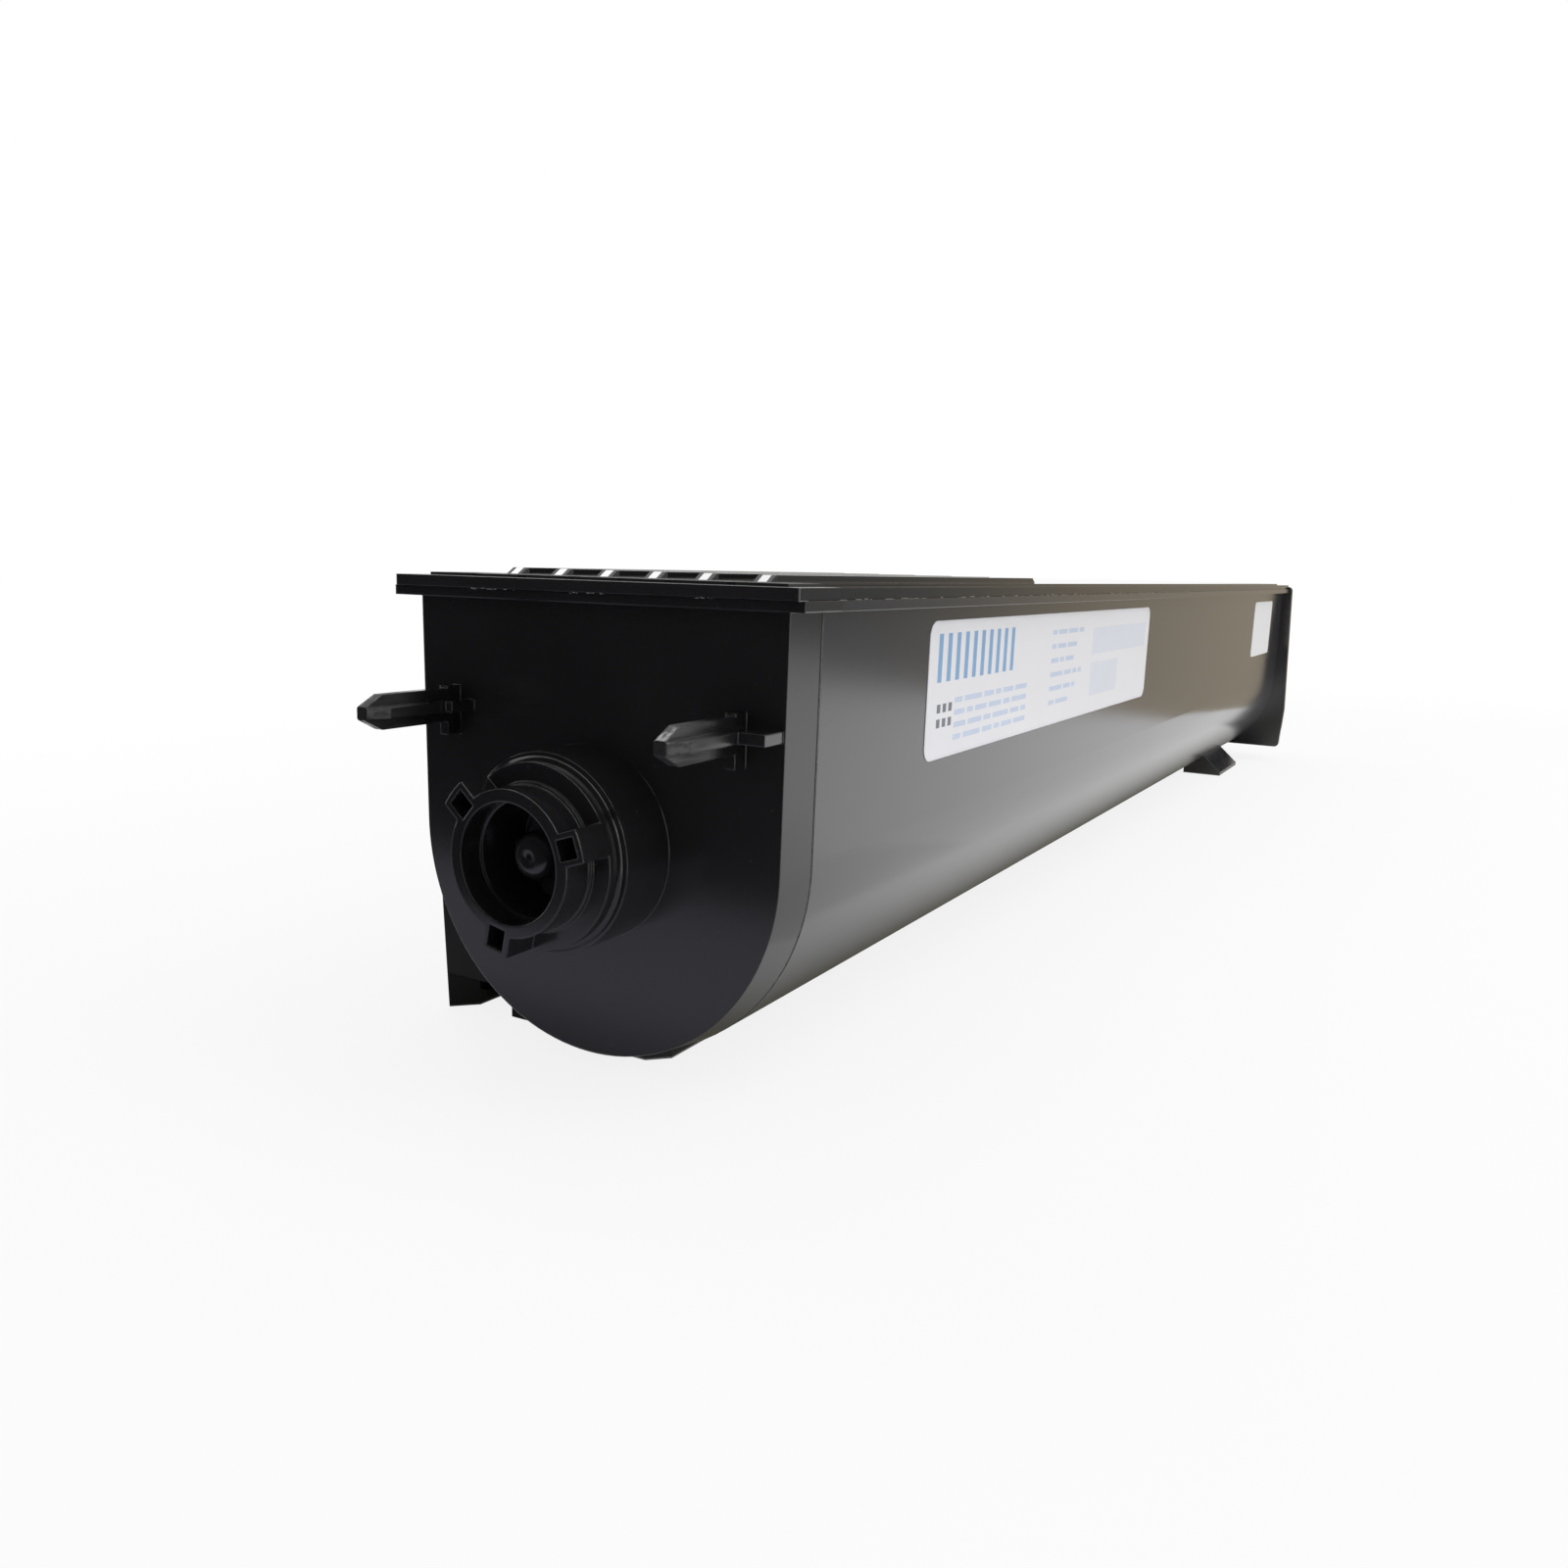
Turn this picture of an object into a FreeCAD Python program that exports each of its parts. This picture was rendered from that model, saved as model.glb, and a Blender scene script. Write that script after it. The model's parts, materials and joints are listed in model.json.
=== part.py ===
import FreeCAD, Part
import math
import os

# Toner cartridge: a long trough of U section under a ribbed lid. Its front end cap
# carries the drive coupling in a collar and two guide prongs, and its far end a
# pull handle. A film paddle turns inside, and a sliding shutter closes the outlet
# low on the left side near the front. Millimetres. X runs across, with the labelled
# side at +X, Y from the drive end to the handle, Z up. The origin is the centre of
# the base, on the surface that the cartridge stands on.

# Body
body_width = 80.0           # outside the sides, at the lid's rim
body_length = 478.0         # from the drive face to the handle cap
side_draft = 0.65           # each side leans in this much from the rim to the drive axis
wall = 2.0
axis_to_rim = 44.65         # from the drive axis up to the top of the lid's rim
foot_drop = 2.0             # how far the feet hold the round bottom off the surface
seam_gap = 0.2              # parting line between the end cap and the trough
fit_gap = 0.15              # loose fit between moulded pieces
bore_gap = 0.03             # fit of a pin or ring that stays where it is
running_gap = 0.05          # radial play of a shaft that turns in its bearing

# Lid
lid_thickness = 1.95
lid_overhang = 2.2          # past the body on each side
lid_lead = 3.4              # past the drive face
lid_corner = 0.8
plateau_height = 0.5
plateau_margin = 4.5        # from the lid's edge to the raised field
lid_rib_count = 5           # short-pitch ribs, with one more beside them
lid_rib_pitch = 10.45
lid_rib_first_x = -26.1
last_rib_gap = 11.6         # between the centres of the last two ribs
lid_rib_width = 3.4
lid_rib_height = 1.15
lid_rib_ramp = 1.8
lid_rib_start = 10.5        # behind the drive face
lid_rib_length = 130.0
lid_skirt_depth = 2.5
lid_skirt_wall = 1.4

# Flange under the lid
flange_thickness = 1.75
flange_overhang = 2.8
flange_lead = 2.6           # past the drive face
cap_flange_tab = 1.6        # the end cap's flange tabs reach this far past its seam

# Drive end cap
cap_depth = 8.3
cap_taper = 1.15            # the drive face is this much smaller all round than the cap's back
cap_plate = 2.5
spigot_length = 5.0
spigot_wall = 1.6
collar_outer_radius = 17.0
collar_bore_radius = 15.95
collar_reach = 11.5
seal_cup_wall = 2.0

# Guide prongs
prong_inset = 9.5           # from the body's side to the prong's middle
prong_height = 21.65        # above the drive axis
prong_reach = 22.0
prong_size = 6.0
prong_fin = 1.9
prong_tip_size = 2.2
prong_chamfer = 3.6
prong_root_reach = 5.7      # level fins of the root
prong_root_inner = 4.3
prong_root_edge = 0.3       # from the outer fin's end to the drive face's edge
prong_root_rise = 3.4       # upright fins of the root, above the prong's middle
prong_root_drop = 5.5       # and below it
prong_root_upright_reach = 3.3

# Drive coupling
mouth_reach = 20.5
tip_outer_radius = 12.1
socket_radius = 10.0
socket_depth = 4.6
inner_cup_radius = 9.6
drum_radius = 12.5
drum_reach = 14.9
coupling_flange_radius = 15.6
coupling_flange_reach = 14.2
coupling_flange_thickness = 2.0
coupling_floor_reach = 5.5
coupling_back_reach = 2.5
pocket_count = 3
pocket_first_angle = 18.5
pocket_width = 5.4
pocket_opening = 3.4
pocket_inner_radius = 11.0
pocket_wall = 1.0
pocket_depth = 5.0
hub_radius = 5.4
hub_lobes = 4
hub_lobe_radius = 7.2
hub_lobe_width = 2.6
hub_reach = 10.5
cross_pin_radius = 1.25
cross_pin_reach = 8.2

# Bearings and seals
shaft_radius = 4.0
shaft_tip_reach = 15.5
shaft_tip_rounding = 2.4
front_seal_size = 16.0      # square pad in a square cup
seal_length = 4.0
rear_wall_inset = 6.0       # the trough's end wall lies this far inside its end
rear_wall = 2.5
rear_hub_radius = 9.5
rear_bush_radius = 7.0
rear_seal_size = 9.8        # square pad that goes in through the bush's hole
rear_bush_flange_size = 17.0
rear_bush_flange = 1.2
shaft_clip_size = 13.0      # square fork clip
shaft_clip_thickness = 0.8
shaft_groove_depth = 0.8
shaft_end_past_clip = 1.2

# Filler plug in the end wall
filler_radius = 13.0
filler_height = 26.2        # above the drive axis
filler_flange_size = 29.0   # square flange
filler_flange = 1.5
filler_depth = 5.0
filler_pocket = 16.0        # square pocket for pulling the plug

# Agitator
frame_radius = 6.0
frame_end_gap = 6.0         # from each end of the chamber
paddle_count = 3
paddle_gap = 4.0
paddle_rib_reach = 18.0     # from the axis
paddle_rib_thickness = 2.2
rib_window_width = 5.0
rib_window_length = 14.0
rib_window_inset = 1.5      # from the frame's tube
film_thickness = 0.3
film_inner_x = 7.0
film_tip_gap = 0.8          # from the film's edge to the trough
film_slits = 9
film_slit_width = 1.2
film_slit_slant = 7.0
film_slit_start = 21.0
strip_thickness = 1.2
strip_width = 7.0
strip_inset = 1.0           # from the film's edges
peg_count = 3
peg_size = 2.4              # square pegs
peg_head_size = 4.0
peg_head_height = 0.8

# Outlet housing and shutter, low on the left side
outlet_stand_out = 4.5      # the housing's shoulder, past the body's side
outlet_lean = 2.05          # its outer face leans in this much down to its foot
outlet_shoulder = 8.0       # the shoulder, below the drive axis
outlet_start_gap = 0.15     # behind the trough's front end
outlet_length = 68.0
outlet_skirt = 4.3
outlet_duct_height = 3.3    # at the inner rail, from the trough down to the duct's underside
outlet_rail = 3.0
outlet_rail_gap = 1.45      # from the surface up to the rails
outlet_lip = 1.6
outlet_lip_thickness = 1.9
port_start = 20.0
port_length = 22.0
port_side_margin = 3.0
port_seal_thickness = 1.0
port_seal_margin = 2.2
shutter_thickness = 2.4
shutter_margin = 4.0        # past the port at each end
shutter_tab_gap = 1.5       # from each of the housing's lips
shutter_tab_length = 3.0
shutter_tab_depth = 2.4
shutter_clearance = 0.15

# Feet under the trough
front_foot_half_width = 9.7
front_foot_length = 18.0
front_foot_chamfer = 3.5
rear_foot_inset = 23.5      # from the trough's back end
rear_foot_length = 39.0
rear_foot_inner_x = 13.0
rear_foot_outer_x = 29.0
rear_foot_edge = 1.5
rear_foot_seat_x = 20.0     # where the foot's slanting side meets the round bottom

# Handle cap
panel_overhang = 3.9        # past the body's side, at the rim
panel_bulge = 1.3           # how far its sides come out further, low down
panel_bulge_drop = 60.0     # where they do, below the rim
panel_thickness = 3.0
panel_below_rim = 0.75
panel_lift = 7.6            # from the surface up to the panel
panel_corner = 2.0
handle_depth = 24.0
handle_overhang = 1.0       # past the body's side
handle_margin = 3.0         # from the panel's edges to the shell, top and bottom
handle_corner = 9.0
handle_edge = 3.0
handle_wall = 2.2
handle_spigot_length = 3.5
grip_side = 12.0            # from the shell's side to the grip pocket
grip_height = 26.0
grip_depth = 15.0
grip_undercut = 8.0
grip_lip = 3.0

# Labels on the right side
label_thickness = 0.15
label_start = 51.4
label_length = 167.2
label_top = 6.4             # below the lid's rim
label_height = 27.0
label_corner = 3.0
tag_inset = 29.0            # from the trough's back end
tag_length = 45.0
tag_top = 7.3
tag_height = 23.7
tag_corner = 2.0

half_width = body_width / 2
bottom_radius = half_width - side_draft
inner_radius = bottom_radius - wall
overall_length = prong_reach + body_length + handle_depth
face_y = prong_reach - overall_length / 2
axis_z = bottom_radius + foot_drop
rim_z = axis_z + axis_to_rim
lid_under = rim_z - lid_thickness
flange_under = lid_under - flange_thickness
flange_half = half_width + flange_overhang
cap_back = face_y + cap_depth
trough_front = cap_back + seam_gap
trough_back = face_y + body_length
end_wall_y = trough_back - rear_wall_inset
spigot_back = cap_back + spigot_length
spigot_inset = wall + fit_gap
prong_x = half_width - prong_inset
tag_start = body_length - tag_inset - tag_length
cut_margin = 1.0


def behind(distance):
    """Y of a plane at a distance behind the drive face."""
    return face_y + distance


def side_x(z):
    """Half width of the body at a height above the drive axis."""
    return bottom_radius + side_draft * (z - axis_z) / axis_to_rim


def box(x0, x1, y0, y1, z0, z1):
    corner = FreeCAD.Vector(min(x0, x1), min(y0, y1), min(z0, z1))
    return Part.makeBox(abs(x1 - x0), abs(y1 - y0), abs(z1 - z0), corner)


def rod(radius, y0, y1, x=0.0, z=axis_z):
    """Cylinder along Y."""
    return Part.makeCylinder(radius, y1 - y0, FreeCAD.Vector(x, y0, z), FreeCAD.Vector(0, 1, 0))


def ring(outer, inner, y0, y1, x=0.0, z=axis_z):
    return rod(outer, y0, y1, x, z).cut(rod(inner, y0 - cut_margin, y1 + cut_margin, x, z))


def square_bar(size, y0, y1):
    """Square bar along the drive axis."""
    return box(-size / 2, size / 2, y0, y1, axis_z - size / 2, axis_z + size / 2)


def post(radius, z0, z1, x, y):
    """Cylinder along Z."""
    return Part.makeCylinder(radius, z1 - z0, FreeCAD.Vector(x, y, z0))


def prism_y(points, y0, y1):
    """Prism along Y of an outline given as (x, z) points."""
    corners = [FreeCAD.Vector(x, y0, z) for x, z in points]
    face = Part.Face(Part.makePolygon(corners + corners[:1]))
    return face.extrude(FreeCAD.Vector(0, y1 - y0, 0))


def prism_z(points, z0, z1):
    """Prism along Z of an outline given as (x, y) points."""
    corners = [FreeCAD.Vector(x, y, z0) for x, y in points]
    face = Part.Face(Part.makePolygon(corners + corners[:1]))
    return face.extrude(FreeCAD.Vector(0, 0, z1 - z0))


def prism_x(points, x0, x1):
    """Prism along X of an outline given as (y, z) points."""
    corners = [FreeCAD.Vector(x0, y, z) for y, z in points]
    face = Part.Face(Part.makePolygon(corners + corners[:1]))
    return face.extrude(FreeCAD.Vector(x1 - x0, 0, 0))


def u_prism(inset, top, y0, y1):
    """The body's section, a distance inside its surface: sides over a round bottom."""
    radius = bottom_radius - inset
    half_top = side_x(top) - inset
    left_top = FreeCAD.Vector(-half_top, y0, top)
    left = FreeCAD.Vector(-radius, y0, axis_z)
    bottom = FreeCAD.Vector(0, y0, axis_z - radius)
    right = FreeCAD.Vector(radius, y0, axis_z)
    right_top = FreeCAD.Vector(half_top, y0, top)
    edges = [
        Part.makeLine(left_top, left),
        Part.Arc(left, bottom, right).toShape(),
        Part.makeLine(right, right_top),
        Part.makeLine(right_top, left_top),
    ]
    return Part.Face(Part.Wire(edges)).extrude(FreeCAD.Vector(0, y1 - y0, 0))


def tapered_body(inset, top, y0, y1):
    """The body's section, drawn in by an inset at its front end."""
    cone = Part.makeCone(bottom_radius - inset, bottom_radius, y1 - y0, FreeCAD.Vector(0, y0, axis_z),
                         FreeCAD.Vector(0, 1, 0))

    def corners(y, drawn_in):
        low = bottom_radius - drawn_in
        high = side_x(top) - drawn_in
        return [FreeCAD.Vector(-low, y, axis_z), FreeCAD.Vector(low, y, axis_z),
                FreeCAD.Vector(high, y, top), FreeCAD.Vector(-high, y, top)]

    front = corners(y0, inset)
    back = corners(y1, 0)
    outlines = [front, back]
    for i in range(len(front)):
        outlines.append([front[i - 1], front[i], back[i], back[i - 1]])
    faces = [Part.Face(Part.makePolygon(points + points[:1])) for points in outlines]
    upper = Part.Solid(Part.Shell(faces))
    if upper.Volume < 0:
        upper.reverse()
    return join(cone, upper)


def rounded_panel(half_x, z0, z1, y0, y1, radius):
    """Plate across Y with rounded corners."""
    plate = box(-half_x, half_x, y0, y1, z0, z1)
    corners = [e for e in plate.Edges if abs(e.Vertexes[0].Y - e.Vertexes[-1].Y) > (y1 - y0) / 2]
    return plate.makeFillet(radius, corners)


def side_sticker(start, length, top, height, corner):
    """Thin sheet with rounded corners on the right side."""
    high = rim_z - top
    low = high - height
    sheet = prism_y([
        (side_x(low), low),
        (side_x(high), high),
        (side_x(high) + label_thickness, high),
        (side_x(low) + label_thickness, low),
    ], behind(start), behind(start + length))
    corners = [e for e in sheet.Edges if e.Length < label_thickness * 2]
    return sheet.makeFillet(corner, corners)


def join(first, *others):
    return first.fuse(list(others)).removeSplitter()


def mirrored(shape):
    return shape.mirror(FreeCAD.Vector(0, 0, 0), FreeCAD.Vector(1, 0, 0))


def turned(shape, degrees):
    """Turn about the drive axis, counter-clockwise seen from the drive end."""
    copy = shape.copy()
    copy.rotate(FreeCAD.Vector(0, 0, axis_z), FreeCAD.Vector(0, -1, 0), degrees)
    return copy


outlet_front = trough_front + outlet_start_gap
outlet_back = outlet_front + outlet_length
outlet_top_x = half_width + outlet_stand_out
outlet_bottom_x = outlet_top_x - outlet_lean
lip_top = outlet_rail_gap + outlet_lip_thickness
shutter_under = lip_top + shutter_clearance
shutter_top = shutter_under + shutter_thickness
seal_under = shutter_top + shutter_clearance
floor_z = seal_under + port_seal_thickness
outlet_inner_x = math.sqrt(bottom_radius ** 2 - (axis_z - floor_z - outlet_duct_height) ** 2)
skirt_inner_x = outlet_bottom_x - outlet_skirt
port_outer_x = skirt_inner_x - port_side_margin
port_inner_x = outlet_inner_x + port_side_margin


def outlet_port():
    """The shaft of the outlet through the trough's wall and its duct."""
    return box(-port_outer_x, -port_inner_x, behind(port_start), behind(port_start + port_length),
               floor_z - cut_margin, axis_z)


def make_trough():
    shell = u_prism(0, flange_under, trough_front, trough_back)
    flange_front = trough_front + cap_flange_tab
    flange = box(-flange_half, flange_half, flange_front, trough_back, flange_under, lid_under)
    foot_front = trough_front
    foot_bevel = foot_front + front_foot_chamfer
    foot_narrow = front_foot_half_width - front_foot_chamfer
    foot_back = foot_front + front_foot_length
    front_foot = prism_z([
        (-foot_narrow, foot_front),
        (foot_narrow, foot_front),
        (front_foot_half_width, foot_bevel),
        (front_foot_half_width, foot_back),
        (-front_foot_half_width, foot_back),
        (-front_foot_half_width, foot_bevel),
    ], 0, foot_drop + wall)
    seat_z = axis_z - math.sqrt(inner_radius ** 2 - rear_foot_seat_x ** 2)
    inner_seat_z = axis_z - math.sqrt(inner_radius ** 2 - rear_foot_inner_x ** 2)
    rear_foot_end = trough_back - rear_foot_inset
    rear_foot = prism_y([
        (rear_foot_inner_x, 0),
        (rear_foot_outer_x, 0),
        (rear_foot_outer_x, rear_foot_edge),
        (rear_foot_seat_x, seat_z),
        (rear_foot_inner_x, inner_seat_z),
    ], rear_foot_end - rear_foot_length, rear_foot_end)
    solid = join(shell, flange, front_foot, rear_foot, mirrored(rear_foot))
    chamber = u_prism(wall, lid_under + cut_margin, trough_front - cut_margin, trough_back + cut_margin)
    solid = solid.cut(chamber)
    end_wall = u_prism(wall, lid_under, end_wall_y - rear_wall, end_wall_y)
    hub = rod(rear_hub_radius, end_wall_y - rear_wall - seal_length - wall, end_wall_y)
    solid = join(solid, end_wall, hub)
    bore = rod(rear_bush_radius + bore_gap, end_wall_y - rear_wall, end_wall_y + cut_margin)
    seal_seat = square_bar(rear_seal_size + bore_gap * 2, end_wall_y - rear_wall - seal_length, end_wall_y)
    passage = rod(shaft_radius + fit_gap * 2, behind(body_length / 2), end_wall_y)
    filler = rod(filler_radius + bore_gap, end_wall_y - rear_wall - cut_margin,
                 end_wall_y + cut_margin, 0, axis_z + filler_height)
    return solid.cut([bore, seal_seat, passage, filler, outlet_port()])


def make_lid():
    half = half_width + lid_overhang
    front = behind(-lid_lead)
    plate = box(-half, half, front, trough_back, lid_under, rim_z)
    front_corners = [e for e in plate.Edges if all(abs(v.Y - front) < fit_gap for v in e.Vertexes)
                     and abs(e.Vertexes[0].Z - e.Vertexes[-1].Z) > fit_gap]
    plate = plate.makeFillet(lid_corner, front_corners)
    plateau = box(-half + plateau_margin, half - plateau_margin, front + plateau_margin,
                  trough_back - plateau_margin, rim_z - cut_margin, rim_z + plateau_height)
    skirt_half = side_x(flange_under) - wall - fit_gap
    skirt_front = spigot_back + fit_gap
    skirt_back = end_wall_y - rear_wall - fit_gap
    skirt_bottom = lid_under - lid_skirt_depth
    skirt = box(-skirt_half, skirt_half, skirt_front, skirt_back, skirt_bottom, rim_z - cut_margin)
    hollow = box(-skirt_half + lid_skirt_wall, skirt_half - lid_skirt_wall, skirt_front + lid_skirt_wall,
                 skirt_back - lid_skirt_wall, skirt_bottom - cut_margin, lid_under)
    base = rim_z + plateau_height
    start = behind(lid_rib_start)
    profile = [
        (start, base - plateau_height),
        (start, base),
        (start + lid_rib_ramp, base + lid_rib_height),
        (start + lid_rib_length, base + lid_rib_height),
        (start + lid_rib_length + lid_rib_ramp, base),
        (start + lid_rib_length + lid_rib_ramp, base - plateau_height),
    ]
    centres = [lid_rib_first_x + lid_rib_pitch * i for i in range(lid_rib_count)]
    centres.append(centres[-1] + last_rib_gap)
    ribs = [prism_x(profile, x - lid_rib_width / 2, x + lid_rib_width / 2) for x in centres]
    return join(plate.fuse(skirt).cut(hollow), plateau, *ribs)


def make_prong():
    """Cross-shaped guide prong with a blunt tip, on a shorter cross-shaped root."""
    x = prong_x
    z = axis_z + prong_height
    tip = behind(-prong_reach)
    shoulder = tip + prong_chamfer
    back = behind(cap_plate / 2)
    half = prong_size / 2
    blunt = prong_tip_size / 2
    fin_half = prong_fin / 2
    upright = prism_x([(back, z + half), (shoulder, z + half), (tip, z + blunt),
                       (tip, z - blunt), (shoulder, z - half), (back, z - half)], x - fin_half, x + fin_half)
    level = prism_z([(x + half, back), (x + half, shoulder), (x + blunt, tip),
                     (x - blunt, tip), (x - half, shoulder), (x - half, back)], z - fin_half, z + fin_half)
    root_upright = box(x - fin_half, x + fin_half, behind(-prong_root_upright_reach), back,
                       z - prong_root_drop, z + prong_root_rise)
    root_end = side_x(z - fin_half) - cap_taper - prong_root_edge
    root_level = box(x - prong_root_inner, root_end, behind(-prong_root_reach), back,
                     z - fin_half, z + fin_half)
    return join(upright, level, root_upright, root_level)


def make_drive_end_cap():
    outer = tapered_body(cap_taper, lid_under, face_y, cap_back)
    plate_back = behind(cap_plate)
    spigot = u_prism(spigot_inset, flange_under, plate_back, spigot_back)
    solid = outer.fuse(spigot)
    solid = solid.cut(u_prism(spigot_inset + spigot_wall, flange_under, plate_back, spigot_back + cut_margin))
    front_flange = box(-flange_half, flange_half, behind(-flange_lead), cap_back, flange_under, lid_under)
    tab_back = cap_back + cap_flange_tab
    tab = box(inner_radius, flange_half, cap_back, tab_back, flange_under, lid_under)
    collar = rod(collar_outer_radius, behind(-collar_reach), plate_back)
    cup = square_bar(front_seal_size + bore_gap * 2 + seal_cup_wall * 2, face_y, plate_back + seal_length)
    prong = make_prong()
    solid = join(solid, front_flange, tab, mirrored(tab), collar, cup, prong, mirrored(prong))
    seat = rod(collar_bore_radius, behind(-collar_reach) - cut_margin, face_y)
    passage = rod(shaft_radius + fit_gap * 2, face_y - cut_margin, plate_back + cut_margin)
    seal_seat = square_bar(front_seal_size + bore_gap * 2, plate_back, plate_back + seal_length + cut_margin)
    return solid.cut([seat, passage, seal_seat])


def make_drive_coupling():
    mouth = behind(-mouth_reach)
    flange_front = behind(-coupling_flange_reach)
    flange_back = flange_front + coupling_flange_thickness
    back = behind(-coupling_back_reach)
    pocket_outer = coupling_flange_radius
    tip = rod(tip_outer_radius, mouth, flange_back)
    drum = rod(drum_radius, behind(-drum_reach), back)
    flange = rod(coupling_flange_radius, flange_front, flange_back)
    shell = box(tip_outer_radius - pocket_wall, pocket_outer, mouth, flange_back,
                axis_z - pocket_width / 2, axis_z + pocket_width / 2)
    rail = shell.common(rod(pocket_outer, mouth, flange_back))
    hole = box(pocket_inner_radius, pocket_outer - pocket_wall, mouth - cut_margin, mouth + pocket_depth,
               axis_z - pocket_opening / 2, axis_z + pocket_opening / 2)
    angles = [pocket_first_angle + 360.0 / pocket_count * i for i in range(pocket_count)]
    solid = join(tip, drum, flange, *[turned(rail, a) for a in angles])
    floor_y = behind(-coupling_floor_reach)
    socket = rod(socket_radius, mouth - cut_margin, mouth + socket_depth)
    inner_cup = rod(inner_cup_radius, mouth, floor_y)
    solid = solid.cut([socket, inner_cup] + [turned(hole, a) for a in angles])
    hub = rod(hub_radius, behind(-hub_reach), back)
    lobe = box(0, hub_lobe_radius, behind(-hub_reach), back,
               axis_z - hub_lobe_width / 2, axis_z + hub_lobe_width / 2)
    lobes = [turned(lobe, 360.0 / hub_lobes * i) for i in range(hub_lobes)]
    solid = join(solid, hub, *lobes)
    shaft_hole = rod(shaft_radius + bore_gap, behind(-hub_reach) - cut_margin, back + cut_margin)
    return solid.cut([shaft_hole, cross_pin(cross_pin_radius + bore_gap)])


def cross_pin(radius):
    return post(radius, axis_z - hub_lobe_radius, axis_z + hub_lobe_radius, 0, behind(-cross_pin_reach))


def clip_front():
    """Y of the clip on the shaft's far end, just clear of the bush's flange."""
    return end_wall_y + rear_bush_flange + fit_gap


def make_agitator_shaft():
    tip = behind(-shaft_tip_reach)
    end = clip_front() + shaft_clip_thickness + shaft_end_past_clip
    shaft = rod(shaft_radius, tip, end)
    tip_edges = [e for e in shaft.Edges if e.Closed and abs(e.Vertexes[0].Y - tip) < fit_gap]
    shaft = shaft.makeFillet(shaft_tip_rounding, tip_edges)
    groove = ring(shaft_radius + cut_margin, shaft_radius - shaft_groove_depth, clip_front(),
                  clip_front() + shaft_clip_thickness)
    return shaft.cut([groove, cross_pin(cross_pin_radius + bore_gap)])


def make_shaft_clip():
    y = clip_front()
    clip = square_bar(shaft_clip_size, y, y + shaft_clip_thickness)
    groove_radius = shaft_radius - shaft_groove_depth
    neck = rod(groove_radius, y - cut_margin, y + shaft_clip_thickness + cut_margin)
    opening = box(-groove_radius, groove_radius, y - cut_margin, y + shaft_clip_thickness + cut_margin,
                  axis_z - shaft_clip_size, axis_z)
    return clip.cut([neck, opening])


def make_front_bearing():
    front = behind(-coupling_flange_reach) + coupling_flange_thickness + fit_gap * 2
    return ring(collar_bore_radius - bore_gap, drum_radius + running_gap, front, face_y)


def make_front_shaft_seal():
    start = behind(cap_plate)
    hole = rod(shaft_radius + running_gap, start - cut_margin, start + seal_length + cut_margin)
    return square_bar(front_seal_size, start, start + seal_length).cut(hole)


def make_rear_bearing():
    start = end_wall_y - rear_wall
    bush = rod(rear_bush_radius, start, end_wall_y)
    flange = square_bar(rear_bush_flange_size, end_wall_y, end_wall_y + rear_bush_flange)
    hole = rod(shaft_radius + running_gap, start - cut_margin, end_wall_y + rear_bush_flange + cut_margin)
    return join(bush, flange).cut(hole)


def make_rear_shaft_seal():
    end = end_wall_y - rear_wall
    hole = rod(shaft_radius + running_gap, end - seal_length - cut_margin, end + cut_margin)
    return square_bar(rear_seal_size, end - seal_length, end).cut(hole)


def make_filler_plug():
    z = axis_z + filler_height
    start = end_wall_y - filler_depth
    plug = rod(filler_radius, start, end_wall_y, 0, z)
    edge = filler_flange_size / 2
    flange = box(-edge, edge, end_wall_y, end_wall_y + filler_flange, z - edge, z + edge)
    half = filler_pocket / 2
    pocket = box(-half, half, end_wall_y - filler_depth / 2, end_wall_y + filler_flange + cut_margin,
                 z - half, z + half)
    return join(plug, flange).cut(pocket)


chamber_front = spigot_back + frame_end_gap
chamber_back = end_wall_y - rear_wall - seal_length - wall - frame_end_gap
paddle_length = (chamber_back - chamber_front - paddle_gap * (paddle_count + 1)) / paddle_count
film_reach = inner_radius - film_tip_gap
film_z = axis_z + paddle_rib_thickness / 2
strip_z = film_z + film_thickness
peg_top = strip_z + strip_thickness
peg_x = film_inner_x + strip_inset + strip_width / 2


def peg(size, z0, z1, side, y):
    """Square peg that stands on a paddle rib."""
    middle = side * peg_x
    return box(middle - size / 2, middle + size / 2, y - size / 2, y + size / 2, z0, z1)


def paddle_start(index):
    return chamber_front + paddle_gap + index * (paddle_length + paddle_gap)


def paddle_side(index):
    """Paddles stand out to alternate sides of the shaft."""
    return 1 if index % 2 == 0 else -1


def peg_places(index):
    pitch = paddle_length / peg_count
    return [paddle_start(index) + pitch * (i + 0.5) for i in range(peg_count)]


def make_agitator_frame():
    solid = rod(frame_radius, chamber_front, chamber_back)
    additions = []
    cuts = [rod(shaft_radius + bore_gap, chamber_front - cut_margin, chamber_back + cut_margin)]
    for index in range(paddle_count):
        side = paddle_side(index)
        start = paddle_start(index)
        additions.append(box(0, side * paddle_rib_reach, start, start + paddle_length,
                             axis_z - paddle_rib_thickness / 2, film_z))
        for y in peg_places(index):
            additions.append(peg(peg_size, axis_z, peg_top, side, y))
            additions.append(peg(peg_head_size, peg_top, peg_top + peg_head_height, side, y))
        window_x = frame_radius + rib_window_inset
        for i in range(peg_count - 1):
            middle = start + paddle_length / peg_count * (i + 1)
            cuts.append(box(side * window_x, side * (window_x + rib_window_width),
                            middle - rib_window_length / 2, middle + rib_window_length / 2,
                            axis_z - paddle_rib_thickness, film_z))
    return join(solid, *additions).cut(cuts)


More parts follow.
